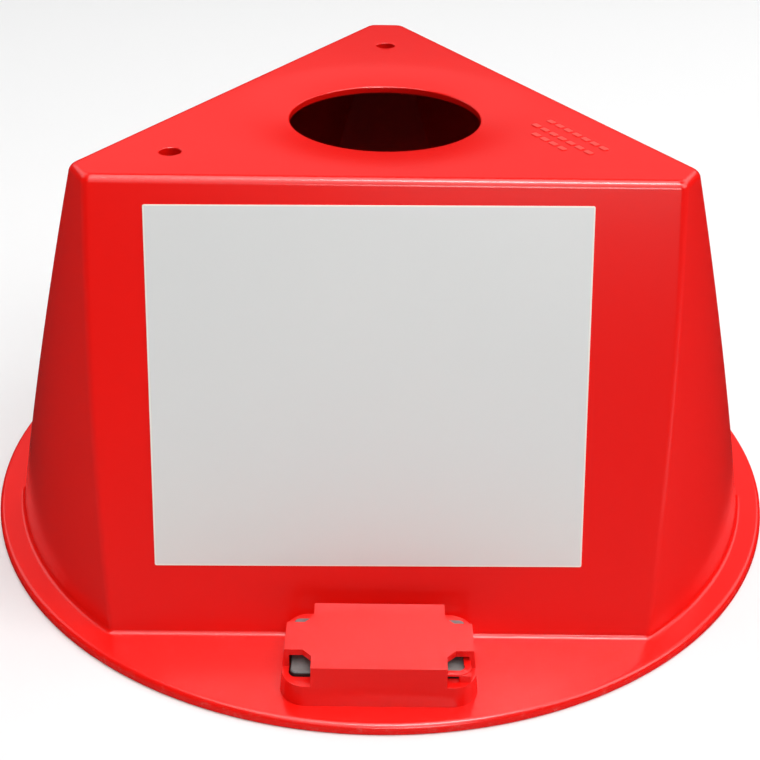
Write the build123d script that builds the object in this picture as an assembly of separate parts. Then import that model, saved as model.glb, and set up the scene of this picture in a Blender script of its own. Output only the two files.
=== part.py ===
from build123d import *
import math
import os

os.makedirs("parts", exist_ok=True)

# A three-sided marker hat for a car's roof: one hollow moulding with a round flange, three loose
# block magnets in holders on the flange, and three write-on labels on the leaning faces.
# Millimetres, +Z up, origin at the centre of the underside. The front face looks towards -Y.

# The moulding's main sizes
flange_radius = 127.0
flange_thickness = 3.0
flange_edge_radius = 1.6
height = 126.0
wall = 2.3

# A face's plane is this far from the axis, and a corner's cone has this radius
face_distance_foot = 91.2
face_distance_top = 52.4
corner_radius_foot = 119.1
corner_radius_top = 95.3
side_edge_radius = 3.0
top_edge_radius = 2.8
foot_cove_radius = 1.5

# The deck: a shallow dish round the hand hole, and two lanyard holes near the corners
hand_hole_radius = 28.4
dish_radius = 46.0
dish_depth = 1.5
lanyard_hole_radius = 3.05
lanyard_hole_distance = 68.2
lanyard_hole_directions = (90.0, 210.0)

# Three rows of small raised bars on the deck: each row's length, its distance from the axis and
# how far its middle sits towards the corner that has no lanyard hole. They run along one edge.
bar_rows = ((27.6, 38.6, 42.8), (27.6, 33.0, 43.3), (15.6, 28.4, 43.4))
bar_rows_direction = 30.0
bar_length = 3.0
bar_gap = 1.1
bar_width = 1.8
bar_rise = 0.3

# The block magnet, and how far it stands above the surface that the hat rests on
magnet_length = 47.6
magnet_depth = 22.2
magnet_thickness = 9.5
magnet_corner_radius = 1.6
magnet_rest_height = 1.0

# The magnet holder, which is part of the moulding
holder_center_distance = 104.1
holder_length = 54.2
holder_depth = 31.4
holder_corner_radius = 7.5
holder_height = 15.1
holder_draft = 0.11
holder_roof = 2.0
roof_back_distance = 91.7
pocket_length = 48.4
pocket_depth = 22.7
pocket_corner_radius = 2.0
pocket_center_distance = 103.7
rim_height = 9.2
band_center_distance = 105.35
band_depth = 11.1
tongue_length = 36.2
notch_chamfer = 2.45
ledge_length = 4.0
ledge_depth = 3.0
lip_bottom = 11.5
lip_thickness = 1.0
lip_overhang = 1.9
lip_length = 7.5
lip_front_overhang = 0.5
lip_front_length = 6.2
lip_root = 0.6
post_length = 3.2
post_depth = 1.6

# The write-on label
label_width = 119.9
label_height = 101.1
label_thickness = 0.25
label_corner_radius = 0.5
label_bottom_up_slope = 20.9

# A face's direction as seen from above, its name, how far its label sits to one side, and the
# angle by which it was stuck on crooked
faces = {
    "front": (-90.0, -3.75, 0.4),
    "back_right": (30.0, 0.0, 0.0),
    "back_left": (150.0, 0.0, 0.0),
}

body_rise = height - flange_thickness
face_slope = (face_distance_foot - face_distance_top) / body_rise
corner_slope = (corner_radius_foot - corner_radius_top) / body_rise
face_lean = math.degrees(math.atan(face_slope))
magnet_play = lip_bottom - magnet_rest_height - magnet_thickness


def face_distance(z):
    """How far a face's plane is from the axis at a height."""
    return face_distance_foot - face_slope * (z - flange_thickness)


def corner_radius(z):
    """The radius of the corners' cone at a height."""
    return corner_radius_foot - corner_slope * (z - flange_thickness)


def turned_to(direction, solid):
    """A solid made for the front face, turned about the axis to another direction."""
    return Rot(0, 0, direction + 90.0) * solid


def block(x_range, y_range, z_range):
    """A plain block between two coordinates on each axis."""
    sizes = [high - low for low, high in (x_range, y_range, z_range)]
    centre = [(high + low) / 2 for low, high in (x_range, y_range, z_range)]
    return Pos(*centre) * Box(*sizes)


def three_sided_cone(low, high, inset):
    """A round cone cut by three leaning planes, every side moved in by the inset."""
    face_inset = inset * math.hypot(1.0, face_slope)
    corner_inset = inset * math.hypot(1.0, corner_slope)
    cone = Pos(0, 0, (low + high) / 2) * Cone(
        corner_radius(low) - corner_inset, corner_radius(high) - corner_inset, high - low
    )
    triangles = [
        Pos(0, 0, z) * RegularPolygon(face_distance(z) - face_inset, 3, major_radius=False, rotation=90)
        for z in (low, high)
    ]
    return cone & loft(triangles, ruled=True)


def dish_ball(extra):
    """The large ball whose lowest cap is the deck's dish, or with a wall extra, its underside."""
    ball_radius = (dish_radius**2 - hand_hole_radius**2) / (2 * dish_depth)
    centre_height = height + math.sqrt(ball_radius**2 - dish_radius**2)
    return Pos(0, 0, centre_height) * Sphere(ball_radius + extra)


def outer_body():
    """The body's outside, with its soft side edges and top edge."""
    body = three_sided_cone(flange_thickness / 2, height, 0.0)
    side_edges = body.edges().filter_by(lambda e: e.bounding_box().size.Z > body_rise / 2)
    body = fillet(side_edges, side_edge_radius)
    top_edges = body.faces().sort_by(Axis.Z)[-1].edges()
    return fillet(top_edges, top_edge_radius)


def flange():
    """The round flange, with its rounded upper edge."""
    disc = Pos(0, 0, flange_thickness / 2) * Cylinder(flange_radius, flange_thickness)
    upper_edge = disc.edges().filter_by(GeomType.CIRCLE).sort_by(Axis.Z)[-1]
    return fillet(upper_edge, flange_edge_radius)


def inner_space():
    """The hollow inside the body, open at the bottom and dished under the deck."""
    space = three_sided_cone(-1.0, height - wall, wall)
    return space - dish_ball(wall)


def raised_bars():
    """Rows of small raised bars that run along the deck's edge towards one corner."""
    bars = []
    pitch = bar_length + bar_gap
    for row_length, row_distance, row_middle in bar_rows:
        count = round(row_length / pitch)
        for index in range(count):
            x = -row_middle + (index - (count - 1) / 2) * pitch
            bars.append(Pos(x, -row_distance, height) * Box(bar_length, bar_width, 2 * bar_rise))
    return turned_to(bar_rows_direction, Compound(bars))


def holder_outside():
    """The holder's drafted block with round corners, over its full height."""
    shrink = 2 * holder_draft * holder_height
    sections = [
        RectangleRounded(holder_length, holder_depth, holder_corner_radius),
        Pos(0, 0, holder_height)
        * RectangleRounded(holder_length - shrink, holder_depth - shrink, holder_corner_radius - shrink / 2),
    ]
    return Pos(0, -holder_center_distance, 0) * loft(sections, ruled=True)


def corner_notches():
    """What is cut from the holder above its rim: four corners and a gap behind the roof."""
    half_band = band_depth / 2
    half_tongue = tongue_length / 2
    reach = holder_length
    corner = Polygon(
        (half_tongue + notch_chamfer, half_band),
        (reach, half_band),
        (reach, reach),
        (half_tongue, reach),
        (half_tongue, half_band + notch_chamfer),
        align=None,
    )
    quarter = extrude(corner, holder_height)
    both = quarter + mirror(quarter, Plane.YZ)
    notches = both + mirror(both, Plane.XZ)
    corners = Pos(0, -band_center_distance, rim_height) * notches
    behind = block((-reach, reach), (-roof_back_distance, 0.0), (rim_height, 2 * holder_height))
    return corners + behind


def pocket():
    """The space that the magnet sits in, open at the bottom."""
    top = holder_height - holder_roof
    outline = RectangleRounded(pocket_length, pocket_depth, pocket_corner_radius)
    return Pos(0, -pocket_center_distance, -1.0) * extrude(outline, top + 1.0)


def pocket_ledges():
    """Four small ledges at the pocket's lower corners, which the magnet rests on."""
    ledges = []
    for side in (-1, 1):
        for end in (-1, 1):
            x = side * (pocket_length - ledge_length) / 2
            y = -pocket_center_distance + end * (pocket_depth - ledge_depth) / 2
            ledge = Box(ledge_length + 1.0, ledge_depth + 1.0, magnet_rest_height)
            ledges.append(Pos(x + side * 0.5, y + end * 0.5, magnet_rest_height / 2) * ledge)
    return ledges


def lip():
    """A thin lip round the pocket's right-hand front corner, which holds the magnet down."""
    end = pocket_length / 2
    front = -pocket_center_distance - pocket_depth / 2
    z_range = (lip_bottom, lip_bottom + lip_thickness)
    outer_end = end + lip_root
    outer_front = front - post_depth
    side_bar = block((end - lip_overhang, outer_end), (outer_front, front + lip_length), z_range)
    front_bar = block(
        (end - lip_front_length, outer_end), (outer_front, front + lip_front_overhang), z_range
    )
    post_z_range = (rim_height - lip_root, lip_bottom + lip_thickness / 2)
    post = block((end - post_length, outer_end), (outer_front, front), post_z_range)
    return side_bar + front_bar + post


def hat_shell():
    """The whole moulding: body, flange, deck with its holes, and three magnet holders."""
    shell = outer_body() + flange()
    foot = shell.edges().filter_by(
        lambda e: abs(e.center().Z - flange_thickness) < 0.01
        and e.bounding_box().size.Z < 0.01
        and e.bounding_box().size.X < 2 * flange_radius - 5
    )
    shell = fillet(foot, foot_cove_radius)
    holder = holder_outside() - corner_notches()
    for direction, _, _ in faces.values():
        shell += turned_to(direction, holder)
    shell -= inner_space()
    shell -= dish_ball(0.0)
    for direction, _, _ in faces.values():
        shell -= turned_to(direction, pocket())
    for direction, _, _ in faces.values():
        for piece in [*pocket_ledges(), lip()]:
            shell += turned_to(direction, piece)
    shell -= Pos(0, 0, height) * Cylinder(hand_hole_radius, 4 * wall + 2 * dish_depth)
    for direction in lanyard_hole_directions:
        place = Rot(0, 0, direction) * Pos(lanyard_hole_distance, 0, height)
        shell -= place * Cylinder(lanyard_hole_radius, 4 * wall)
    shell += raised_bars()
    return shell


def magnet():
    """A ferrite block with round corners, at rest on its ledges."""
    outline = RectangleRounded(magnet_length, magnet_depth, magnet_corner_radius)
    return Pos(0, -pocket_center_distance, magnet_rest_height) * extrude(outline, magnet_thickness)


def label(side_offset, tilt):
    """A thin sheet that lies on the front face, turned a little in the face's plane."""
    outline = RectangleRounded(label_width, label_height, label_corner_radius)
    sheet = extrude(outline, label_thickness)
    up_slope = label_bottom_up_slope + label_height / 2
    foot = Pos(0, -face_distance_foot, flange_thickness)
    return foot * Rot(90.0 - face_lean, 0, 0) * Pos(side_offset, up_slope, 0) * Rot(0, 0, tilt) * sheet


def write(name, solid):
    """One STEP file for one piece, named after it."""
    solid.label = name
    export_step(solid, f"parts/{name}.step")
    print(name, round(solid.volume), "mm3,", len(solid.solids()), "solid(s)")


write("hat_shell", hat_shell())
for face_name, (face_direction, label_offset, label_tilt) in faces.items():
    write(f"magnet_{face_name}", turned_to(face_direction, magnet()))
    write(f"label_{face_name}", turned_to(face_direction, label(label_offset, label_tilt)))
print("face lean", round(face_lean, 2), "degrees; magnet play", round(magnet_play, 2), "mm")
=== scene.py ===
"""Visible model of a magnetic car roof marker hat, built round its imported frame.

The hat is one hollow red moulding: a round flange, a body that is a round cone cut by three
leaning faces, a dished deck with a hand hole, and three holders on the flange. Each holder keeps
a loose ferrite block, and each face has a white write-on label. Shapes are worked out in
millimetres, with the front face towards -Y, and become metres when a mesh is made.
"""

import logging
import math
from dataclasses import dataclass, field
from enum import Enum
from typing import Sequence, Union

import bmesh
import bpy
import numpy as np
from mathutils import Matrix, Vector


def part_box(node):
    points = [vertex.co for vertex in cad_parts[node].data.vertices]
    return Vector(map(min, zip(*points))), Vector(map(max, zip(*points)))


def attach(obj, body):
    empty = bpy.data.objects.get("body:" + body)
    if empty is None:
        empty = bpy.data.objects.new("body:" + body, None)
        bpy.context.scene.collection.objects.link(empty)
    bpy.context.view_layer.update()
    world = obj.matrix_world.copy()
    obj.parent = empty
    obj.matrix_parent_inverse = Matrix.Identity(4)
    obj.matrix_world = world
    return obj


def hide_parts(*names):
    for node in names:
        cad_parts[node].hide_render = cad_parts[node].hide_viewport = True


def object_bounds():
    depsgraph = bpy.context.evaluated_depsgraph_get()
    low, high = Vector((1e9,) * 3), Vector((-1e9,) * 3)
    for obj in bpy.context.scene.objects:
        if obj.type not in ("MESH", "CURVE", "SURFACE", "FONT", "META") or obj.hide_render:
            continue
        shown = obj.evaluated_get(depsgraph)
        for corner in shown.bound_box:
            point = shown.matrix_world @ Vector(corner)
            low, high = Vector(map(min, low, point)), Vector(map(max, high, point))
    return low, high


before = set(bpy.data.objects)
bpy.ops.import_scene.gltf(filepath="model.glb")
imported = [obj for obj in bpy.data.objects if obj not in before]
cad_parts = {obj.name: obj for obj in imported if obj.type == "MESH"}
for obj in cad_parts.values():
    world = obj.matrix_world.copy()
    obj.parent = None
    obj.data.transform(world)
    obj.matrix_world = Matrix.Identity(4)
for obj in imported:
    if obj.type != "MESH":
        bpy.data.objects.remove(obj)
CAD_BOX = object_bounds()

MM = 0.001
RIGHT_ANGLE = math.pi / 2
Array = np.ndarray
Piece = bpy.types.Object
Material = bpy.types.Material
Pair = tuple[float, float]
Triple = tuple[float, float, float]
LOG = logging.getLogger("marker_hat")


# --- Names ---


class Slot(Enum):
    """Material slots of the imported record."""

    RED_PLASTIC = "red_plastic"
    FERRITE = "ferrite"
    LABEL_WHITE = "label_white"


class Face(Enum):
    """The three faces, each with the direction that it looks in, in degrees from +X."""

    FRONT = -90.0
    BACK_RIGHT = 30.0
    BACK_LEFT = 150.0

    @property
    def word(self) -> str:
        """The face's name as the frame's nodes and bodies write it."""
        return self.name.lower()

    @property
    def turn(self) -> float:
        """How far a piece made for the front face is turned about the axis, in radians."""
        return math.radians(self.value - Face.FRONT.value)


class Cut(Enum):
    """What a solid does to the one that it meets."""

    ADD = "UNION"
    REMOVE = "DIFFERENCE"


# --- Shader writing ---


class Wire:
    """One output of a shader node, which plain arithmetic can be written with."""

    def __init__(self, graph: "ShaderGraph", socket: bpy.types.NodeSocket) -> None:
        """Keep the socket and the graph that its nodes are added to."""
        self.graph = graph
        self.socket = socket

    def _math(self, operation: str, *values: "Value") -> "Wire":
        """Add one Math node on the values."""
        inputs = dict(enumerate(values))
        return self.graph.node("ShaderNodeMath", {"operation": operation}, inputs)

    def __add__(self, other: "Value") -> "Wire":
        """Sum."""
        return self._math("ADD", self, other)

    def __radd__(self, other: "Value") -> "Wire":
        """Sum with a plain number first."""
        return self._math("ADD", other, self)

    def __sub__(self, other: "Value") -> "Wire":
        """Difference."""
        return self._math("SUBTRACT", self, other)

    def __rsub__(self, other: "Value") -> "Wire":
        """Difference with a plain number first."""
        return self._math("SUBTRACT", other, self)

    def __mul__(self, other: "Value") -> "Wire":
        """Product."""
        return self._math("MULTIPLY", self, other)

    def __rmul__(self, other: "Value") -> "Wire":
        """Product with a plain number first."""
        return self._math("MULTIPLY", other, self)

    def root(self) -> "Wire":
        """Square root."""
        return self._math("SQRT", self)

    def smooth(self, low: float, high: float) -> "Wire":
        """Rise smoothly from 0 at the low value to 1 at the high one, and stay there."""
        settings = {"interpolation_type": "SMOOTHSTEP"}
        inputs = {"Value": self, "From Min": low, "From Max": high}
        return self.graph.node("ShaderNodeMapRange", settings, inputs, "Result")

    def most(self, other: "Value") -> "Wire":
        """The larger of two values."""
        return self._math("MAXIMUM", self, other)


Value = Union[Wire, float, Sequence[float]]


class ShaderGraph:
    """The node tree of one material, written as expressions."""

    def __init__(self, name: str) -> None:
        """Make an empty material of that name."""
        self.material = bpy.data.materials.new(name)
        self.material.use_nodes = True
        self.tree = self.material.node_tree
        self.tree.nodes.clear()

    def node(
        self,
        kind: str,
        settings: dict[str, object],
        inputs: dict[Union[str, int], Value],
        output: Union[str, int] = 0,
    ) -> Wire:
        """Add any node.

        Args:
            kind: the node's type.
            settings: its properties, set before its sockets.
            inputs: values or wires for its input sockets, by name or number.
            output: the output socket that is handed back.

        Returns:
            The chosen output as a wire.
        """
        made = self.tree.nodes.new(kind)
        for key, value in settings.items():
            setattr(made, key, value)
        for key, value in inputs.items():
            if isinstance(value, Wire):
                self.tree.links.new(value.socket, made.inputs[key])
            else:
                made.inputs[key].default_value = value
        return Wire(self, made.outputs[output])

    def place(self) -> Wire:
        """The point's place on the object, in metres."""
        return self.node("ShaderNodeTexCoord", {}, {}, "Object")

    def axes(self, place: Wire) -> tuple[Wire, Wire, Wire]:
        """Split a vector into its three parts."""
        parts = self.node("ShaderNodeSeparateXYZ", {}, {"Vector": place}, "X")
        outputs = parts.socket.node.outputs
        return tuple(Wire(self, outputs[name]) for name in ("X", "Y", "Z"))

    def noise(self, place: Wire, scale: float, detail: float, roughness: float) -> Wire:
        """Soft noise between 0 and 1, with its scale in waves to the metre."""
        inputs = {"Vector": place, "Scale": scale, "Detail": detail, "Roughness": roughness}
        return self.node("ShaderNodeTexNoise", {}, inputs, "Fac")

    def stretched(self, place: Wire, stretch: Sequence[float]) -> Wire:
        """The place with each axis scaled, so that a pattern on it runs long or short."""
        return self.node("ShaderNodeMapping", {}, {"Vector": place, "Scale": stretch})

    def blend(self, share: Value, first: Value, second: Value) -> Wire:
        """Mix two colours by a share."""
        inputs = {0: share, 6: self._colour(first), 7: self._colour(second)}
        return self.node("ShaderNodeMix", {"data_type": "RGBA"}, inputs, 2)

    @staticmethod
    def _colour(value: Value) -> Value:
        """A colour with its fourth part, where it is written as three numbers."""
        return value if isinstance(value, Wire) else (*value[:3], 1.0)

    def bump(self, height: Wire, distance: float, strength: float = 1.0) -> Wire:
        """Turn a height in units of the distance, in metres, into a normal."""
        inputs = {"Height": height, "Distance": distance, "Strength": strength}
        return self.node("ShaderNodeBump", {}, inputs, "Normal")

    def finish(self, inputs: dict[str, Value]) -> Material:
        """Close the tree with a Principled surface and hand back the material."""
        surface = self.node("ShaderNodeBsdfPrincipled", {}, inputs, "BSDF")
        output = self.tree.nodes.new("ShaderNodeOutputMaterial")
        self.tree.links.new(surface.socket, output.inputs["Surface"])
        return self.material


@dataclass(frozen=True)
class RedPlastic:
    """Satin moulded plastic: deep red, fine grain, faint flow marks, a scuffed rim, painted bar
    highlights.
    """

    red: Triple = (0.93, 0.0065, 0.0035)
    dark_red: Triple = (0.86, 0.005, 0.003)
    scuff_and_highlight: Triple = (0.93, 0.16, 0.13)
    roughness: float = 0.22
    flow_stretch: Triple = (9.0, 9.0, 3.0)
    grain_per_metre: float = 2600.0
    peel_per_metre: float = 240.0
    scratch_stretch: Triple = (60.0, 900.0, 400.0)
    rim: Pair = (0.1262, 0.1271)
    rim_wear_per_metre: float = 420.0
    rim_wear: float = 0.3
    above_deck: Pair = (0.1261, 0.12625)
    bar_top_highlight: float = 0.4
    skin_depth: float = 0.000018

    def build(self) -> Material:
        """Write the material's nodes."""
        graph = ShaderGraph("red_moulded_plastic")
        place = graph.place()
        x, y, z = graph.axes(place)
        radius = (x * x + y * y).root()
        flow = graph.noise(graph.stretched(place, self.flow_stretch), 1.0, 4.0, 0.55)
        grain = graph.noise(place, self.grain_per_metre, 2.0, 0.6)
        peel = graph.noise(place, self.peel_per_metre, 2.0, 0.5)
        scratches = graph.noise(graph.stretched(place, self.scratch_stretch), 1.0, 3.0, 0.7)
        nicks = graph.noise(place, self.rim_wear_per_metre, 4.0, 0.7).smooth(0.52, 0.70)
        wear_and_highlight = radius.smooth(*self.rim) * nicks * self.rim_wear
        # Painted highlight: the raised bars' tops are blended towards the pale scuff colour, on
        # top of the rim's scuffs.
        wear_and_highlight = wear_and_highlight.most(z.smooth(*self.above_deck) * self.bar_top_highlight)
        body = graph.blend(flow.smooth(0.35, 0.75), self.red, self.dark_red)
        colour = graph.blend(wear_and_highlight, body, self.scuff_and_highlight)
        rough = self.roughness + (grain - 0.5) * 0.10 + (flow - 0.5) * 0.08 + wear_and_highlight * 0.2
        height = grain * 0.55 + peel * 0.6 + scratches.smooth(0.66, 0.78) * -0.35
        finish = {"Base Color": colour, "Roughness": rough, "Specular IOR Level": 0.5}
        return graph.finish(finish | {"Normal": graph.bump(height, self.skin_depth, 0.8)})


@dataclass(frozen=True)
class LabelFilm:
    """White write-on film: smooth, a little glossy, with faint wiped-off smudges."""

    white: Triple = (0.750, 0.760, 0.752)
    warm: Triple = (0.78, 0.765, 0.735)
    smudge: Triple = (0.68, 0.69, 0.70)
    cut_edge: Triple = (0.95, 0.90, 0.80)
    roughness: float = 0.30
    warm_below: Pair = (0.02, 0.06)
    cloud_per_metre: float = 22.0
    wipe_stretch: Triple = (40.0, 40.0, 260.0)
    ripple_per_metre: float = 60.0
    ripple_depth: float = 0.00008

    def build(self) -> Material:
        """Write the material's nodes."""
        graph = ShaderGraph("write_on_film")
        place = graph.place()
        _, _, z = graph.axes(place)
        cloud = graph.noise(place, self.cloud_per_metre, 3.0, 0.5)
        wipes = graph.noise(graph.stretched(place, self.wipe_stretch), 1.0, 4.0, 0.65)
        low = 1.0 - z.smooth(*self.warm_below)
        colour = graph.blend(low * 0.6 + (cloud - 0.5) * 0.4, self.white, self.warm)
        colour = graph.blend(wipes.smooth(0.62, 0.80) * 0.16, colour, self.smudge)
        border = graph.node("ShaderNodeAttribute", {"attribute_name": "border"}, {}, "Fac")
        colour = graph.blend(border * 0.8, colour, self.cut_edge)
        ripple = graph.noise(place, self.ripple_per_metre, 2.0, 0.4)
        rough = self.roughness + (cloud - 0.5) * 0.10 + wipes.smooth(0.55, 0.8) * 0.10
        finish = {"Base Color": colour, "Roughness": rough, "Specular IOR Level": 0.45}
        return graph.finish(finish | {"Normal": graph.bump(ripple, self.ripple_depth, 0.5)})


@dataclass(frozen=True)
class Ferrite:
    """Sintered ferrite: dull grey and porous on top, with painted shade that makes its sides
    nearly black.
    """

    grey: Triple = (0.165, 0.162, 0.157)
    pale: Triple = (0.31, 0.303, 0.292)
    pore: Triple = (0.05, 0.05, 0.052)
    painted_side_shade: Triple = (0.012, 0.011, 0.011)
    roughness: float = 0.58
    shade_below_top: Pair = (0.0101, 0.0103)
    speckle_per_metre: float = 1500.0
    patch_per_metre: float = 160.0
    grinding_stretch: Triple = (120.0, 1600.0, 900.0)
    skin_depth: float = 0.00006

    def build(self) -> Material:
        """Write the material's nodes."""
        graph = ShaderGraph("sintered_ferrite")
        place = graph.place()
        speckle = graph.noise(place, self.speckle_per_metre, 3.0, 0.7)
        patch = graph.noise(place, self.patch_per_metre, 4.0, 0.6)
        grinding = graph.noise(graph.stretched(place, self.grinding_stretch), 1.0, 2.0, 0.6)
        colour = graph.blend(patch.smooth(0.35, 0.70) * 0.55, self.grey, self.pale)
        colour = graph.blend(speckle.smooth(0.58, 0.72) * 0.55, colour, self.pore)
        _, _, z = graph.axes(place)
        # Painted shade: below the top face the colour is blended to near black.
        colour = graph.blend(z.smooth(*self.shade_below_top), self.painted_side_shade, colour)
        height = speckle * 0.6 + grinding * 0.4
        rough = self.roughness + (patch - 0.5) * 0.2
        finish = {"Base Color": colour, "Roughness": rough, "Specular IOR Level": 0.5}
        return graph.finish(finish | {"Normal": graph.bump(height, self.skin_depth, 0.8)})


@dataclass(frozen=True)
class PaleFloor:
    """The studio's plain pale floor."""

    tone: Triple = (0.86, 0.86, 0.86)
    painted_shade: Triple = (0.01, 0.01, 0.01)
    covered: Pair = (0.100, 0.115)
    far: Pair = (0.7, 2.4)
    no_glow: Triple = (0.0, 0.0, 0.0)
    far_glow: Triple = (0.80, 0.80, 0.80)

    def build(self) -> Material:
        """Write the material's nodes: pale, painted shade where the hat covers it, and aglow far
        away.
        """
        graph = ShaderGraph("pale_floor")
        x, y, _ = graph.axes(graph.place())
        radius = (x * x + y * y).root()
        # Painted shade on the floor under the hat, seen through the hand hole.
        colour = graph.blend(radius.smooth(*self.covered), self.painted_shade, self.tone)
        glow = graph.blend(radius.smooth(*self.far), self.no_glow, self.far_glow)
        finish = {"Base Color": colour, "Roughness": 0.7, "Specular IOR Level": 0.2}
        return graph.finish(finish | {"Emission Color": glow, "Emission Strength": 1.0})


# --- Surfaces ---


def ring_faces(rows: int, columns: int, closed: bool) -> list[list[int]]:
    """Faces of a grid whose columns wrap round.

    Args:
        rows: how many rings the grid has.
        columns: how many points a ring has.
        closed: true where the last ring joins the first; otherwise both ends get a cap.

    Returns:
        The faces as lists of point numbers: a quad for each cell, then the caps.
    """
    row = np.arange(rows if closed else rows - 1)[:, None]
    column = np.arange(columns)[None, :]
    next_row, next_column = (row + 1) % rows, (column + 1) % columns
    corners = [row * columns + column, row * columns + next_column]
    corners += [next_row * columns + next_column, next_row * columns + column]
    faces = np.stack(np.broadcast_arrays(*corners), axis=-1).reshape(-1, 4).tolist()
    if not closed:
        first = np.arange(columns)
        faces += [first[::-1].tolist(), (first + (rows - 1) * columns).tolist()]
    return faces


def solid(name: str, rings: Array, closed: bool = False) -> Piece:
    """Make a closed mesh object from rings of points.

    Args:
        name: the object's name.
        rings: points in millimetres, as rings by points by three.
        closed: true where the last ring joins the first.

    Returns:
        The object, at the world's origin, with its faces outwards.
    """
    rows, columns, _ = rings.shape
    mesh = bpy.data.meshes.new(name)
    mesh.from_pydata((rings.reshape(-1, 3) * MM).tolist(), [], ring_faces(rows, columns, closed))
    made = bmesh.new()
    made.from_mesh(mesh)
    bmesh.ops.recalc_face_normals(made, faces=made.faces)
    made.to_mesh(mesh)
    made.free()
    piece = bpy.data.objects.new(name, mesh)
    bpy.context.scene.collection.objects.link(piece)
    return piece


def turned(points: Array, angle: float) -> Array:
    """Points turned about the vertical axis: x' = x cos a - y sin a, y' = x sin a + y cos a."""
    cosine, sine = math.cos(angle), math.sin(angle)
    x, y = points[..., 0], points[..., 1]
    flat = np.stack([x * cosine - y * sine, x * sine + y * cosine], axis=-1)
    return np.concatenate([flat, points[..., 2:]], axis=-1)


def rounded_rectangle(
    length: float, depth: float, radius: float, arc: int = 8, side: int = 1
) -> Array:
    """Outline of a rectangle with round corners, centred on the origin.

    Each corner is its centre plus the radius times (cos a, sin a), a over a quarter turn. The
    straight stretch from one corner to the next is cut into equal parts.

    Args:
        length: size along x.
        depth: size along y.
        radius: the corners' radius.
        arc: how many steps a corner has.
        side: how many parts each straight stretch has.

    Returns:
        The points, anticlockwise, as points by two.
    """
    sweep = np.linspace(0.0, RIGHT_ANGLE, arc + 1)
    stretches = []
    for quarter, (sx, sy) in enumerate(((1, 1), (-1, 1), (-1, -1), (1, -1))):
        centre = np.array([sx * (length / 2 - radius), sy * (depth / 2 - radius)])
        angles = sweep + quarter * RIGHT_ANGLE
        stretches.append(centre + radius * np.stack([np.cos(angles), np.sin(angles)], axis=-1))
    parts = []
    for current, following in zip(stretches, stretches[1:] + stretches[:1]):
        shares = np.arange(1, side)[:, None] / side
        parts += [current, current[-1] * (1 - shares) + following[0] * shares]
    return np.concatenate(parts)


def arc_points(x: float, z: float, radius: float, start: float, stop: float, count: int) -> Array:
    """Points x + radius cos a, z + radius sin a over a sweep of a, as two rows."""
    angle = np.linspace(start, stop, count)
    return np.stack([x + radius * np.cos(angle), z + radius * np.sin(angle)])


def face_to(piece: Piece, side: Face) -> None:
    """Turn a mesh made for the front face to another face."""
    piece.data.transform(Matrix.Rotation(side.turn, 4, "Z"))


def at_height(outline: Array, height: float) -> Array:
    """An outline of points by two lifted to a height."""
    return np.column_stack([outline, np.full(len(outline), height)])


def nested(
    size: Pair, corner: float, grow: Array, heights: Array, steps: tuple[int, int], least: float
) -> Array:
    """Rounded rectangles one inside the other.

    Args:
        size: length and depth of the one that isn't grown.
        corner: its corners' radius.
        grow: how far each one's sides move out.
        heights: how high each one lies.
        steps: how many steps a corner and a straight stretch have.
        least: the smallest radius that a corner gets.

    Returns:
        The outlines as rings of points.
    """
    rings = []
    for out, height in zip(grow, heights):
        length, depth = size[0] + 2 * out, size[1] + 2 * out
        outline = rounded_rectangle(length, depth, max(corner + out, least), *steps)
        rings.append(at_height(outline, height))
    return np.stack(rings)


def prism(name: str, outline: Array, low: float, high: float) -> Piece:
    """A straight solid over an outline, between two heights."""
    return solid(name, np.stack([at_height(outline, low), at_height(outline, high)]))


# --- Joining and finishing meshes ---


def bake_modifiers(piece: Piece) -> None:
    """Replace a piece's mesh with what its modifiers make of it."""
    graph = bpy.context.evaluated_depsgraph_get()
    made = bpy.data.meshes.new_from_object(piece.evaluated_get(graph))
    spent = piece.data
    piece.modifiers.clear()
    piece.data = made
    made.name = piece.name
    bpy.data.meshes.remove(spent)


def combine(base: Piece, tool: Piece, cut: Cut) -> None:
    """Join the tool to the base or cut it out, and remove the tool."""
    modifier = base.modifiers.new("cut", "BOOLEAN")
    modifier.operation = cut.value
    modifier.solver = "EXACT"
    modifier.object = tool
    bpy.context.view_layer.update()
    bake_modifiers(base)
    bpy.data.objects.remove(tool)


def soften_edges(piece: Piece, width: float, segments: int, angle: float = 35.0) -> None:
    """Round every edge sharper than an angle, by a width in millimetres."""
    modifier = piece.modifiers.new("soft_edges", "BEVEL")
    modifier.width = width * MM
    modifier.segments = segments
    modifier.limit_method = "ANGLE"
    modifier.angle_limit = math.radians(angle)
    modifier.use_clamp_overlap = True
    bpy.context.view_layer.update()
    bake_modifiers(piece)


def tidy_shading(piece: Piece, angle: float = 32.0) -> None:
    """Shade smooth, break at edges sharper than an angle, and keep flat faces flat."""
    made = bmesh.new()
    made.from_mesh(piece.data)
    bmesh.ops.remove_doubles(made, verts=made.verts, dist=0.002 * MM)
    bmesh.ops.dissolve_degenerate(made, edges=made.edges, dist=0.001 * MM)
    made.to_mesh(piece.data)
    made.free()
    piece.data.shade_smooth()
    piece.data.set_sharp_from_angle(angle=math.radians(angle))
    modifier = piece.modifiers.new("flat_faces", "WEIGHTED_NORMAL")
    modifier.keep_sharp = True
    modifier.weight = 60


def dress(piece: Piece, material: Material, body: str) -> None:
    """Give a piece its material and say what it rides on."""
    piece.data.materials.clear()
    piece.data.materials.append(material)
    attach(piece, body)
    LOG.info("%s: %d faces, rides on %s", piece.name, len(piece.data.polygons), body)


# --- The moulding ---


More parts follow.
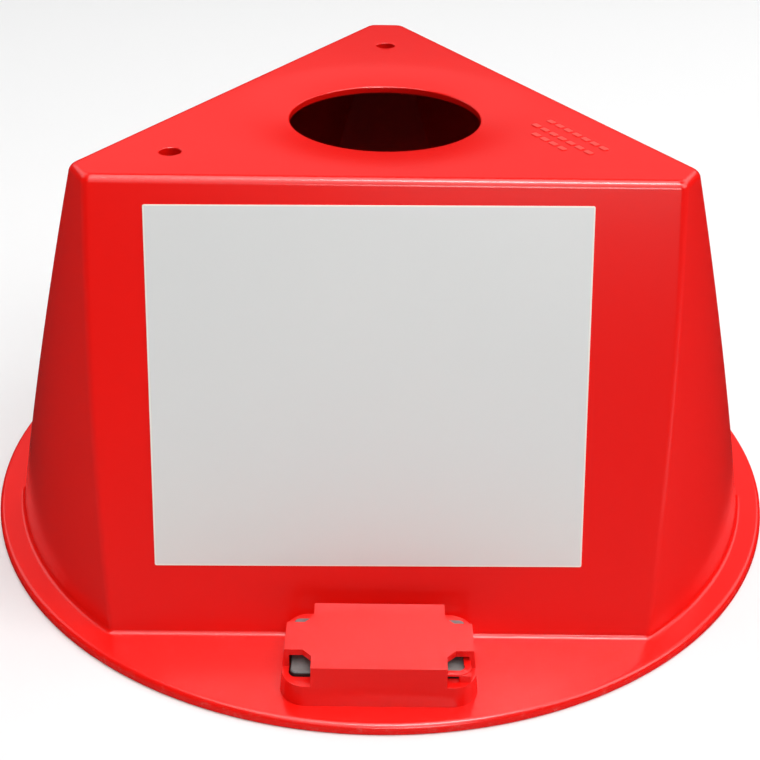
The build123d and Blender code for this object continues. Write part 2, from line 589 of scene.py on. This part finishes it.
@dataclass
class Body:
    """The hollow three-sided body with its deck and flange, as one closed surface."""

    flange_radius: float = 127.0
    flange_thickness: float = 3.0
    rim_lower_edge: float = 0.4
    rim_upper_edge: float = 1.6
    height: float = 126.0
    wall: float = 2.3
    face_foot: float = 91.2
    face_top: float = 52.4
    corner_foot: float = 119.1
    corner_top: float = 95.3
    side_edge: float = 3.0
    inner_side_edge: float = 1.4
    top_edge: float = 2.8
    inner_top_edge: float = 1.2
    foot_cove: float = 1.5
    hand_hole: float = 28.4
    hand_hole_edge: float = 0.5
    dish_start: float = 49.0
    dish_depth: float = 1.5
    face_columns: int = 28
    edge_columns: int = 7
    corner_columns: int = 12
    face_slope: float = field(init=False)
    corner_slope: float = field(init=False)

    def __post_init__(self) -> None:
        """Work out how fast the faces and the corners lean in."""
        rise = self.height - self.flange_thickness
        self.face_slope = (self.face_foot - self.face_top) / rise
        self.corner_slope = (self.corner_foot - self.corner_top) / rise

    def face_at(self, z: Array) -> Array:
        """A face's distance from the axis at a height."""
        return self.face_foot - self.face_slope * (z - self.flange_thickness)

    def corner_at(self, z: Array) -> Array:
        """The corner cone's radius at a height."""
        return self.corner_foot - self.corner_slope * (z - self.flange_thickness)

    def corner_share(self) -> Array:
        """How far each column has gone over from a face, 0, to a corner, 1."""
        over = np.linspace(0.0, 1.0, self.edge_columns, endpoint=False)
        half = np.concatenate([np.zeros(self.face_columns), over, np.ones(self.corner_columns)])
        return np.tile(np.concatenate([half[::-1][:-1], half])[:-1], len(Face))

    def outline(self, face: Array, corner: Array, edge: float) -> Array:
        """Outlines of a circle cut by three chords, with round edges between them.

        Over half a side, the straight stretch is (face, s) up to the round edge, which is its
        centre plus the edge radius times (cos a, sin a). The corner is the circle's radius times
        (cos b, sin b) up to 60 degrees. The half is mirrored, and the side turned twice.

        Args:
            face: the chords' distance from the axis, one for each ring.
            corner: the circle's radius, one for each ring.
            edge: the radius between a chord and the circle.

        Returns:
            Points as rings by columns by two.
        """
        face, corner = np.atleast_1d(face)[:, None], np.atleast_1d(corner)[:, None]
        reach = np.sqrt((corner - edge) ** 2 - (face - edge) ** 2)
        meeting = np.arctan2(reach, face - edge)
        straight = np.linspace(0.0, 1.0, self.face_columns, endpoint=False)[None, :]
        around = np.linspace(0.0, 1.0, self.edge_columns, endpoint=False)[None, :] * meeting
        onward = np.linspace(0.0, 1.0, self.corner_columns)[None, :]
        sweep = meeting + (math.pi / 3 - meeting) * onward
        x = [face + 0.0 * straight, face - edge + edge * np.cos(around), corner * np.cos(sweep)]
        y = [reach * straight, reach + edge * np.sin(around), corner * np.sin(sweep)]
        half = np.stack([np.concatenate(x, axis=1), np.concatenate(y, axis=1)], axis=-1)
        mirrored = half[:, :0:-1] * np.array([1.0, -1.0])
        side = np.concatenate([mirrored, half[:, :-1]], axis=1)
        return np.concatenate([turned(side, math.radians(look.value)) for look in Face], axis=1)

    def rings(
        self, face: Array, corner: Array, z_face: Array, z_corner: Array, edge: float
    ) -> Array:
        """Outlines as rings, each column's height blended from the face's to the corner's."""
        flat = self.outline(face, corner, edge)
        share = self.corner_share()[None, :]
        z_face, z_corner = np.atleast_1d(z_face)[:, None], np.atleast_1d(z_corner)[:, None]
        z = z_face * (1 - share) + z_corner * share
        return np.concatenate([flat, z[..., None]], axis=-1)

    def wall_rings(self, low: float, high: float, count: int, inset: float, edge: float) -> Array:
        """Straight leaning wall between two heights, moved in by an inset square to the wall."""
        z = np.linspace(low, high, count)
        face = self.face_at(z) - inset * math.hypot(1.0, self.face_slope)
        corner = self.corner_at(z) - inset * math.hypot(1.0, self.corner_slope)
        return self.rings(face, corner, z, z, edge)

    def cove_rings(self) -> Array:
        """The hollow curve from the flange up to the wall.

        For a wall x = x0 - m z, the arc of radius r has its centre at height r and at
        x0 - m r + r sqrt(1 + m^2), and runs from straight down to square on the wall.
        """
        base, radius = self.flange_thickness, self.foot_cove
        face, z_face = self._foot_arc(self.face_foot, self.face_slope, base, radius)
        corner, z_corner = self._foot_arc(self.corner_foot, self.corner_slope, base, radius)
        return self.rings(face, corner, z_face, z_corner, self.side_edge)

    @staticmethod
    def _foot_arc(distance: float, slope: float, base: float, radius: float) -> Array:
        """Distances and heights along the foot's arc for one wall."""
        centre = distance - slope * radius + radius * math.hypot(1.0, slope)
        start, stop = 3 * RIGHT_ANGLE, 2 * RIGHT_ANGLE + math.atan(slope)
        return arc_points(centre, base + radius, radius, start, stop, 6)

    def top_rings(
        self, top: float, radius: float, inset: float, edge: float, count: int
    ) -> Array:
        """The round edge between a leaning wall and the deck above it.

        For a wall that is at x1 at the top, the arc's centre is r below the top, at
        x1 + m r - r sqrt(1 + m^2), and it runs from square on the wall round to straight up.
        """
        pairs = []
        for at, slope in ((self.face_at, self.face_slope), (self.corner_at, self.corner_slope)):
            stretch = math.hypot(1.0, slope)
            centre = at(top) - inset * stretch + slope * radius - radius * stretch
            lean = math.atan(slope)
            pairs.append(arc_points(centre, top - radius, radius, lean, RIGHT_ANGLE, count))
        (face, z_face), (corner, z_corner) = pairs
        return self.rings(face, corner, z_face, z_corner, edge)

    def deck_height(self, radius: Array) -> Array:
        """The deck's height: flat, then falling as the square of the way in to the hand hole."""
        way_in = (self.dish_start - radius) / (self.dish_start - self.hand_hole)
        return self.height - self.dish_depth * np.clip(way_in, 0.0, 1.0) ** 2

    @staticmethod
    def towards_circle(ring: Array, radius: float, shares: Array) -> Array:
        """Rings between one ring and a circle round the axis, column by column at one angle."""
        around = np.arctan2(ring[:, 1], ring[:, 0])
        circle = radius * np.stack([np.cos(around), np.sin(around)], axis=-1)
        shares = shares[:, None, None]
        flat = ring[None, :, :2] * (1 - shares) + circle[None] * shares
        return np.concatenate([flat, np.full(flat.shape[:2] + (1,), ring[0, 2])], axis=-1)

    def circle_rings(self, around: Array, radii: Array, heights: Array) -> Array:
        """Round rings at given column angles, radii and heights."""
        x, y = np.cos(around)[None, :] * radii[:, None], np.sin(around)[None, :] * radii[:, None]
        return np.stack([x, y, np.broadcast_to(heights[:, None], x.shape)], axis=-1)

    def deck_rings(self, edge_ring: Array, drop: float, shares: Array) -> Array:
        """The deck's top, or with a drop its underside, from an edge ring in to the hand hole."""
        rings = self.towards_circle(edge_ring, self.hand_hole + self.hand_hole_edge, shares)
        radius = np.hypot(rings[..., 0], rings[..., 1])
        rings[..., 2] = self.deck_height(radius) - drop
        return rings

    def rim_rings(self, around: Array) -> Array:
        """The flange's outer rim, from its underside up over both round edges."""
        low, high = self.rim_lower_edge, self.rim_upper_edge
        below = arc_points(self.flange_radius - low, low, low, -RIGHT_ANGLE, 0.0, 4)
        top = self.flange_thickness - high
        above = arc_points(self.flange_radius - high, top, high, 0.0, RIGHT_ANGLE, 7)
        return self.circle_rings(around, *np.concatenate([below, above], axis=1))

    def hole_rings(self, around: Array) -> Array:
        """The hand hole's wall, with a round edge above and below."""
        edge = self.hand_hole_edge
        middle = self.hand_hole + edge
        top = float(self.deck_height(np.array(middle)))
        above = arc_points(middle, top - edge, edge, RIGHT_ANGLE, 2 * RIGHT_ANGLE, 5)[:, 1:]
        under = top - self.wall + edge
        below = arc_points(middle, under, edge, 2 * RIGHT_ANGLE, 3 * RIGHT_ANGLE, 5)[:, :-1]
        return self.circle_rings(around, *np.concatenate([above, below], axis=1))

    def build(self) -> Piece:
        """Carry the profile round, from the underside over the rim and deck to the inside."""
        inside_foot = self.wall_rings(0.0, 0.0, 1, self.wall, self.inner_side_edge)[0]
        cove = self.cove_rings()
        wall_low, wall_high = float(cove[-1, 0, 2]), self.height - self.top_edge
        rim_angle = np.arctan2(cove[0, :, 1], cove[0, :, 0])
        rim = self.rim_rings(rim_angle)
        underside = self.towards_circle(
            inside_foot, self.flange_radius - self.rim_lower_edge, np.linspace(0.0, 1.0, 6)[:-1]
        )
        flange_top = self.towards_circle(
            cove[0], self.flange_radius - self.rim_upper_edge, np.linspace(1.0, 0.0, 8)[1:-1]
        )
        wall = self.wall_rings(wall_low, wall_high, 14, 0.0, self.side_edge)[1:-1]
        top = self.top_rings(self.height, self.top_edge, 0.0, self.side_edge, 9)
        shares = np.linspace(0.0, 1.0, 22)
        deck = self.deck_rings(top[-1], 0.0, shares[1:])
        hole_angle = np.arctan2(top[-1, :, 1], top[-1, :, 0])
        hole = self.hole_rings(hole_angle)
        ceiling = self.height - self.wall
        inner_top = self.top_rings(
            ceiling, self.inner_top_edge, self.wall, self.inner_side_edge, 5
        )[::-1]
        under_deck = self.deck_rings(inner_top[0], self.wall, shares[::-1][:-1])
        inner_wall = self.wall_rings(
            ceiling - self.inner_top_edge, 0.0, 10, self.wall, self.inner_side_edge
        )[1:-1]
        profile = [underside, rim, flange_top, cove, wall, top, deck, hole, under_deck]
        profile += [inner_top, inner_wall]
        return solid("hat_moulding", np.concatenate(profile), closed=True)


@dataclass
class Holder:
    """One magnet holder: a drafted hollow block, with a plus-shaped roof over four windows."""

    centre: float = 104.1
    length: float = 54.2
    depth: float = 31.4
    corner: float = 7.5
    height: float = 15.1
    draft: float = 0.11
    roof: float = 2.0
    root: float = 1.2
    flange_top: float = 3.0
    roof_back: float = 92.4
    curl_start: float = 96.4
    curl_rise: float = 0.45
    pocket_centre: float = 103.7
    pocket_length: float = 48.4
    pocket_depth: float = 22.7
    pocket_corner: float = 2.0
    rim: float = 9.2
    band_centre: float = 105.35
    band_depth: float = 11.1
    tongue_length: float = 36.2
    notch_chamfer: float = 2.45
    edge: float = 0.32
    ledge_length: float = 4.0
    ledge_depth: float = 3.0
    ledge_height: float = 1.0
    ledge_root: float = 1.0
    lip_bottom: float = 11.1
    lip_thickness: float = 0.8
    lip_overhang: float = 1.5
    lip_front_overhang: float = 0.25
    lip_length: float = 7.5
    lip_front_length: float = 7.4
    lip_root: float = 0.45
    lip_front_root: float = 1.5
    lip_turn: float = 2.6
    post_length: float = 2.9
    hair: float = 0.02

    def outside(self) -> Piece:
        """The block's outside: a rounded rectangle whose size falls by the draft as it rises."""
        levels = np.array([self.root, self.rim, self.height])
        size, inward = (self.length, self.depth), -self.draft * levels
        rings = nested(size, self.corner, inward, levels, (10, 1), 0.0)
        return solid("holder", rings - (0.0, self.centre, 0.0))

    def notch(self, side: int, end: int) -> Piece:
        """What is cut from one upper corner, leaving the roof's band and tongue."""
        band, tongue, chamfer = self.band_depth / 2, self.tongue_length / 2, self.notch_chamfer
        reach = self.length
        corner = [(tongue + chamfer, band), (reach, band), (reach, reach)]
        corner += [(tongue, reach), (tongue, band + chamfer)]
        outline = np.array(corner) * (side, end) - (0.0, self.band_centre)
        return prism("notch", outline, self.rim, 2 * self.height)

    def gap_behind(self) -> Piece:
        """What is cut from above the rim behind the roof, which frees its back edge."""
        reach = self.length
        outline = rounded_rectangle(2 * reach, 2 * reach, 1.0, 2)
        return prism("gap", outline + (0.0, reach - self.roof_back), self.rim, 2 * self.height)

    def curl(self, holder: Piece) -> None:
        """Bend the roof's back end up, by the curl's rise times the square of the way back."""
        mesh = bmesh.new()
        mesh.from_mesh(holder.data)
        for distance in np.linspace(self.curl_start, self.roof_back, 6)[:-1]:
            parts = [*mesh.verts, *mesh.edges, *mesh.faces]
            place = (0.0, -distance * MM, 0.0)
            bmesh.ops.bisect_plane(mesh, geom=parts, plane_co=place, plane_no=(0.0, 1.0, 0.0))
        mesh.to_mesh(holder.data)
        mesh.free()
        points = np.empty(len(holder.data.vertices) * 3)
        holder.data.vertices.foreach_get("co", points)
        points = points.reshape(-1, 3)
        run = self.curl_start - self.roof_back
        way = np.clip((points[:, 1] / MM + self.curl_start) / run, 0.0, 1.0)
        on_roof = points[:, 2] / MM > self.height - self.roof - self.edge
        points[:, 2] += np.where(on_roof, self.curl_rise * way**2, 0.0) * MM
        holder.data.vertices.foreach_set("co", points.ravel())
        holder.data.update()

    def pocket(self, high: float, shrink: float = 0.0) -> Piece:
        """The space for the magnet, from below the flange up to a height."""
        length, depth = self.pocket_length - shrink, self.pocket_depth - shrink
        outline = rounded_rectangle(length, depth, self.pocket_corner, 5)
        return prism("pocket", outline - (0.0, self.pocket_centre), -1.0, high)

    def ledges(self) -> list[Piece]:
        """The four small ledges that the magnet rests on, in the pocket's lower corners."""
        long, deep = self.ledge_length + self.ledge_root, self.ledge_depth + self.ledge_root
        outline = rounded_rectangle(long, deep, 0.4, 3)
        x = (self.pocket_length - self.ledge_length + self.ledge_root) / 2
        y = (self.pocket_depth - self.ledge_depth + self.ledge_root) / 2
        places = [(side * x, end * y - self.pocket_centre) for side in (-1, 1) for end in (-1, 1)]
        return [prism("ledge", outline + place, self.hair, self.ledge_height) for place in places]

    def front_lip(self) -> Piece:
        """The thin lip round the pocket's front corner: a flat bar carried round a quarter turn.

        Its path runs along the end wall, round an arc and along the front wall. The bar's inner
        edge stands over the magnet, and its outer edge is in the wall.
        """
        half_length, half_depth = self.pocket_length / 2, self.pocket_depth / 2
        turn = self.lip_turn
        sweep = np.linspace(0.0, -RIGHT_ANGLE, 8)
        along_end = np.array([[half_length, self.lip_length - half_depth]])
        corner = np.array([half_length - turn, turn - half_depth])
        arc = corner + turn * np.stack([np.cos(sweep), np.sin(sweep)], axis=-1)
        along_front = np.array([[half_length - self.lip_front_length, -half_depth]])
        path = np.concatenate([along_end, arc, along_front])
        outward = np.concatenate([[[1.0, 0.0]], (arc - corner) / turn, [[0.0, -1.0]]])
        share = np.concatenate([[0.0], np.linspace(0.0, 1.0, len(arc)), [1.0]])[:, None]
        over = self.lip_overhang * (1 - share) + self.lip_front_overhang * share
        rooted = self.lip_root * (1 - share) + self.lip_front_root * share
        inner, outer = path - outward * over, path + outward * rooted
        low = np.full((len(path), 1), self.lip_bottom)
        high = low + self.lip_thickness
        sections = ((inner, low), (outer, low), (outer, high), (inner, high))
        rings = np.stack([np.hstack(section) for section in sections], axis=1)
        return solid("lip", rings - (0.0, self.pocket_centre, 0.0))

    def post(self) -> Piece:
        """The small post on the rim that carries the front lip's corner."""
        half_length, half_depth = self.pocket_length / 2, self.pocket_depth / 2
        long, deep = self.post_length + self.lip_root, self.lip_front_root
        x, y = half_length + self.lip_root - long / 2, -half_depth - deep / 2
        low, high = self.rim - self.lip_root, self.lip_bottom + self.lip_thickness / 2
        outline = rounded_rectangle(long, deep, 0.5, 4) + (x, y - self.pocket_centre)
        return prism("post", outline, low, high)

    def build(self) -> Piece:
        """Cut the windows and the pocket from the block, soften its edges and add the lip and its
        post.
        """
        holder = self.outside()
        for side in (-1, 1):
            for end in (-1, 1):
                combine(holder, self.notch(side, end), Cut.REMOVE)
        combine(holder, self.gap_behind(), Cut.REMOVE)
        combine(holder, self.pocket(self.height - self.roof), Cut.REMOVE)
        soften_edges(holder, self.edge, 3)
        self.curl(holder)
        for part in (self.front_lip(), self.post()):
            soften_edges(part, self.edge * 0.6, 2)
            combine(holder, part, Cut.ADD)
        return holder



@dataclass
class RaisedBars:
    """Three rows of plain raised bars on the deck, along one edge near the unpierced corner."""

    rows: tuple[Triple, ...] = ((27.6, 38.6, 42.8), (27.6, 33.0, 43.3), (15.6, 28.4, 43.4))
    side: Face = Face.BACK_RIGHT
    length: float = 3.0
    gap: float = 1.1
    width: float = 1.8
    rise: float = 0.3
    edge: float = 0.14

    def build(self, deck: float) -> list[Piece]:
        """One small rounded bar for each place in the rows."""
        bars = []
        pitch = self.length + self.gap
        outline = rounded_rectangle(self.length, self.width, 0.45, 3)
        levels = (deck - self.rise, deck + self.rise - self.edge, deck + self.rise)
        sizes = (1.0, 1.0, 1.0 - 2 * self.edge / self.width)
        for row_length, distance, middle in self.rows:
            count = round(row_length / pitch)
            for index in range(count):
                place = np.array([-middle + (index - (count - 1) / 2) * pitch, -distance])
                rings = [at_height(outline * size + place, z) for z, size in zip(levels, sizes)]
                bars.append(solid("bar", turned(np.stack(rings), self.side.turn)))
        return bars


@dataclass
class Moulding:
    """The whole red moulding: the body, three holders, the holes and the raised bars."""

    body: Body = field(default_factory=Body)
    holder: Holder = field(default_factory=Holder)
    bars: RaisedBars = field(default_factory=RaisedBars)
    lanyard_hole: float = 3.05
    lanyard_distance: float = 68.2
    lanyard_directions: Pair = (90.0, 210.0)
    lanyard_edge: float = 0.35

    def lanyard_cutter(self, direction: float) -> Piece:
        """A round cutter that flares at the deck, by e (1 - cos a) over a quarter turn."""
        deck, hole, edge = self.body.height, self.lanyard_hole, self.lanyard_edge
        flare = np.linspace(0.0, RIGHT_ANGLE, 5)
        radii = np.concatenate([[hole], hole + edge * (1 - np.cos(flare)), [hole + edge]])
        levels = deck - edge * (1 - np.sin(flare))
        levels = np.concatenate([[deck - 3 * self.body.wall], levels, [deck + 1.0]])
        around = np.linspace(0.0, 2 * math.pi, 40, endpoint=False)
        rings = self.body.circle_rings(around, radii, levels)
        angle = math.radians(direction)
        shift = self.lanyard_distance * np.array([math.cos(angle), math.sin(angle), 0.0])
        return solid("lanyard_hole", rings + shift)

    def build(self, material: Material) -> Piece:
        """Join the parts into one mesh and let it stand for the frame's shell."""
        shell = self.body.build()
        holder = self.holder.build()
        for side in Face:
            copy = holder.copy()
            copy.data = holder.data.copy()
            bpy.context.scene.collection.objects.link(copy)
            face_to(copy, side)
            combine(shell, copy, Cut.ADD)
        bpy.data.objects.remove(holder)
        for side in Face:
            cutter = self.holder.pocket(self.holder.flange_top + 1.0, 2 * self.holder.hair)
            face_to(cutter, side)
            combine(shell, cutter, Cut.REMOVE)
            for ledge in self.holder.ledges():
                face_to(ledge, side)
                combine(shell, ledge, Cut.ADD)
        for direction in self.lanyard_directions:
            combine(shell, self.lanyard_cutter(direction), Cut.REMOVE)
        for bar in self.bars.build(self.body.height):
            combine(shell, bar, Cut.ADD)
        tidy_shading(shell)
        dress(shell, material, "shell")
        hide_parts("hat_shell")
        return shell


# --- Labels and magnets ---


@dataclass
class Label:
    """A thin write-on label lying on a leaning face."""

    width: float = 119.9
    height: float = 101.1
    thickness: float = 0.25
    corner: float = 0.5
    up_slope: float = 20.9
    front_offset: float = -3.75
    front_tilt: float = math.radians(0.4)
    border: float = 0.4

    def build(self, side: Face, body: Body, material: Material) -> Piece:
        """A sheet with soft edges: nested outlines on top, over the edge and back underneath.

        Args:
            side: the face that it is on.
            body: the body, for the face's foot and lean.
            material: the film.

        Returns:
            The label.
        """
        edge = self.thickness * 0.45
        sweep = np.linspace(0.0, RIGHT_ANGLE, 4)
        inner = [-45.0, -30.0, -15.0, -4.0, -self.border - 0.05, -self.border]
        grow = np.concatenate([inner, edge * np.sin(sweep) - edge, [0.0, -4.0, -45.0]])
        over = self.thickness - edge * (1 - np.cos(sweep))
        rise = np.concatenate([np.full(len(inner), self.thickness), over, np.zeros(3)])
        points = nested((self.width, self.height), self.corner, grow, rise, (4, 12), 0.3)
        lean = math.atan(body.face_slope)
        tilt, offset = (self.front_tilt, self.front_offset) if side is Face.FRONT else (0.0, 0.0)
        points = turned(points, tilt)
        along = points[..., 0] + offset
        up = points[..., 1] + self.up_slope + self.height / 2
        out = points[..., 2]
        y = -body.face_foot + up * math.sin(lean) - out * math.cos(lean)
        z = body.flange_thickness + up * math.cos(lean) + out * math.sin(lean)
        node = f"label_{side.word}"
        label = solid(f"write_on_{node}", turned(np.stack([along, y, z], axis=-1), side.turn))
        at_border = np.repeat((grow > -self.border - 0.01).astype(float), points.shape[1])
        border = label.data.attributes.new("border", "FLOAT", "POINT")
        border.data.foreach_set("value", at_border)
        tidy_shading(label)
        dress(label, material, "shell")
        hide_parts(node)
        return label


@dataclass
class Magnet:
    """A loose ferrite block with round corners, small chamfers and chipped edges."""

    corner: float = 1.6
    chamfer: float = 0.45
    chip: float = 1.3
    seed: int = 7

    def build(self, side: Face, material: Material) -> Piece:
        """Nested outlines over the top, down the sides and back underneath, chipped at the edges.

        A chip moves an edge's points in and down by a mask: a sum of waves round the outline,
        kept where it is high, and fading with the distance from the edge.

        Args:
            side: the face whose holder it sits in.
            material: the ferrite.

        Returns:
            The magnet.
        """
        node = f"magnet_{side.word}"
        front_low, front_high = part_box("magnet_front")
        length, depth = (front_high.x - front_low.x) / MM, (front_high.y - front_low.y) / MM
        low, high = front_low.z / MM, front_high.z / MM
        centre = (front_low.y + front_high.y) / 2 / MM
        steps = np.array([9.0, 6.0, 4.0, 2.6, 1.6, 0.9, self.chamfer])
        down = [high - self.chamfer, high - 1.2, (high + low) / 2, low + 1.2, low + self.chamfer]
        inset = np.concatenate([steps, np.zeros(len(down)), steps[::-1]])
        level = np.concatenate([np.full(len(steps), high), down, np.full(len(steps), low)])
        points = nested((length, depth), self.corner, -inset, level, (8, 44), 0.25)
        seed = self.seed + list(Face).index(side)
        points = self._chipped(points, inset, high, low, seed) + (0.0, centre, 0.0)
        magnet = solid(f"block_{node}", turned(points, side.turn))
        tidy_shading(magnet, 40.0)
        dress(magnet, material, f"{side.word}_magnet")
        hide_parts(node)
        return magnet

    def _chipped(self, points: Array, inset: Array, high: float, low: float, seed: int) -> Array:
        """Points with small chips along the upper and lower edges."""
        random = np.random.default_rng(seed)
        columns = points.shape[1]
        around = np.linspace(0.0, 2 * math.pi, columns, endpoint=False)
        waves = np.zeros(columns)
        for frequency in (9, 17, 31, 53, 89, 131):
            waves += np.sin(around * frequency + random.uniform(0, 2 * math.pi)) / frequency**0.35
        mask = np.clip((waves - 0.9) / 1.2, 0.0, 1.0)[None, :]
        near_edge = np.exp(-((inset / 1.1) ** 2))[:, None]
        top = np.exp(-((points[..., 2] - high) / 1.3) ** 2)
        bottom = np.exp(-((points[..., 2] - low) / 1.3) ** 2)
        depth = self.chip * mask * near_edge * np.maximum(top, bottom)
        flat = points[..., :2]
        inward = -flat / np.linalg.norm(flat, axis=-1, keepdims=True)
        moved = points.copy()
        moved[..., :2] += inward * depth[..., None]
        moved[..., 2] += np.where(points[..., 2] > (high + low) / 2, -1.0, 1.0) * depth * 0.6
        return moved


# --- Studio ---


@dataclass(frozen=True)
class Softbox:
    """One rectangular light that looks at the hat, placed by its direction from the hat."""

    name: str
    azimuth: float
    elevation: float
    width: float
    height: float
    radiance: float
    distance: float = 2.2
    target: Triple = (0.0, 0.0, 0.06)
    highlight_only: bool = False

    def build(self) -> None:
        """Make the light; its power is radiance times pi times its area."""
        azimuth, elevation = math.radians(self.azimuth), math.radians(self.elevation)
        across = math.cos(elevation)
        x, y = math.cos(azimuth) * across, math.sin(azimuth) * across
        direction = Vector((x, y, math.sin(elevation)))
        data = bpy.data.lights.new(self.name, "AREA")
        data.shape = "RECTANGLE"
        data.size, data.size_y = self.width, self.height
        data.energy = self.radiance * math.pi * self.width * self.height
        light = bpy.data.objects.new(self.name, data)
        bpy.context.scene.collection.objects.link(light)
        light.location = Vector(self.target) + direction * self.distance
        light.rotation_euler = (-direction).to_track_quat("-Z", "Y").to_euler()
        light.visible_camera = False
        light.visible_diffuse = not self.highlight_only


@dataclass
class Studio:
    """The floor, the soft lights, the sky and the camera."""

    camera_place: Triple = (-0.67, -382.01, 258.43)
    camera_yaw: float = 0.011
    camera_pitch: float = 30.463
    camera_roll: float = 0.650
    camera_lens: float = 63.23
    sensor: float = 36.0
    floor_size: float = 6000.0
    floor_gap: float = 0.05
    sky_strength: float = 0.02
    sky_tone: Triple = (0.88, 0.88, 0.88)
    card_from_axis: Pair = (260.0, 900.0)
    card_y: float = -380.0
    card_depth: float = 420.0
    card_glow: float = 0.7
    softboxes: tuple[Softbox, ...] = (
        Softbox("key_light", -15.0, 42.0, 1.3, 1.3, 4.0),
        Softbox("top_light", 90.0, 84.0, 1.8, 1.4, 3.7),
        Softbox("front_high_light", -90.0, 60.0, 1.6, 0.9, 2.9),
        Softbox("front_light", -90.0, 38.0, 1.6, 0.7, 1.5),
        Softbox("front_low_strip", -90.0, 25.0, 0.8, 0.06, 75.0, 2.2, (0.35, 0.0, 0.06), True),
        Softbox("edge_strip", -90.0, 77.0, 2.0, 0.06, 22.0, 2.0, (0.0, 0.0, 0.06), True),
        Softbox("edge_accent", -90.0, 77.0, 0.75, 0.04, 230.0, 2.0, (0.3, 0.0, 0.06), True),
        Softbox("back_light", 90.0, 31.0, 3.0, 1.1, 0.35, 2.4),
        Softbox("back_right_light", 35.0, 35.0, 1.3, 1.1, 1.7),
        Softbox("back_left_light", 145.0, 35.0, 1.3, 1.1, 1.2),
    )

    def camera(self) -> None:
        """Place the camera: level and looking along +Y, then turned, dipped and rolled."""
        aim = Matrix.Translation(Vector(self.camera_place) * MM)
        dip = 90.0 - self.camera_pitch
        for angle, axis in ((-self.camera_yaw, "Z"), (dip, "X"), (self.camera_roll, "Z")):
            aim = aim @ Matrix.Rotation(math.radians(angle), 4, axis)
        data = bpy.data.cameras.new("studio_camera")
        data.lens = self.camera_lens
        data.sensor_width = self.sensor
        data.clip_start = 0.01
        data.clip_end = 50.0
        camera = bpy.data.objects.new("studio_camera", data)
        bpy.context.scene.collection.objects.link(camera)
        camera.matrix_world = aim
        bpy.context.scene.camera = camera

    def floor(self, material: Material) -> None:
        """A wide flat floor just under the hat."""
        top = CAD_BOX[0].z / MM - self.floor_gap
        outline = rounded_rectangle(self.floor_size, self.floor_size, 100.0, 4)
        floor = prism("studio_floor", outline, top - 20.0, top)
        floor.data.materials.append(material)
        floor.visible_glossy = False

    def side_card(self) -> None:
        """A glowing card that lies on the floor at the right and shows only in reflections."""
        near, far = self.card_from_axis
        outline = rounded_rectangle(far - near, self.card_depth, 20.0, 4)
        card = prism("side_card", outline + ((near + far) / 2, self.card_y), 1.0, 2.0)
        white, black = (1.0, 1.0, 1.0, 1.0), (0.0, 0.0, 0.0, 1.0)
        glow = {"Base Color": black, "Emission Color": white, "Emission Strength": self.card_glow}
        card.data.materials.append(ShaderGraph("pale_card").finish(glow))
        card.visible_camera = card.visible_diffuse = card.visible_shadow = False

    def sky(self) -> None:
        """A backdrop that looks pale and gives almost no light of its own."""
        world = bpy.data.worlds.new("studio_sky")
        world.use_nodes = True
        tree = world.node_tree
        seen = tree.nodes["Background"]
        seen.inputs["Color"].default_value = (*self.sky_tone, 1.0)
        dim = tree.nodes.new("ShaderNodeBackground")
        dim.inputs["Color"].default_value = (1.0, 1.0, 1.0, 1.0)
        dim.inputs["Strength"].default_value = self.sky_strength
        path = tree.nodes.new("ShaderNodeLightPath")
        choice = tree.nodes.new("ShaderNodeMixShader")
        tree.links.new(path.outputs["Is Camera Ray"], choice.inputs[0])
        tree.links.new(dim.outputs[0], choice.inputs[1])
        tree.links.new(seen.outputs[0], choice.inputs[2])
        tree.links.new(choice.outputs[0], tree.nodes["World Output"].inputs["Surface"])
        bpy.context.scene.world = world

    def build(self) -> None:
        """Set the whole studio up."""
        bpy.context.scene.view_settings.view_transform = "Standard"
        self.camera()
        self.floor(PaleFloor().build())
        self.side_card()
        self.sky()
        for softbox in self.softboxes:
            softbox.build()


def main() -> None:
    """Build the moulding, the labels, the magnets and the studio, in that order."""
    logging.basicConfig(level=logging.INFO, format="%(name)s: %(message)s")
    moulding = Moulding()
    moulding.build(RedPlastic().build())
    film, ferrite = LabelFilm().build(), Ferrite().build()
    label, magnet = Label(), Magnet()
    for side in Face:
        label.build(side, moulding.body, film)
        magnet.build(side, ferrite)
    Studio().build()


if __name__ == "__main__":
    main()
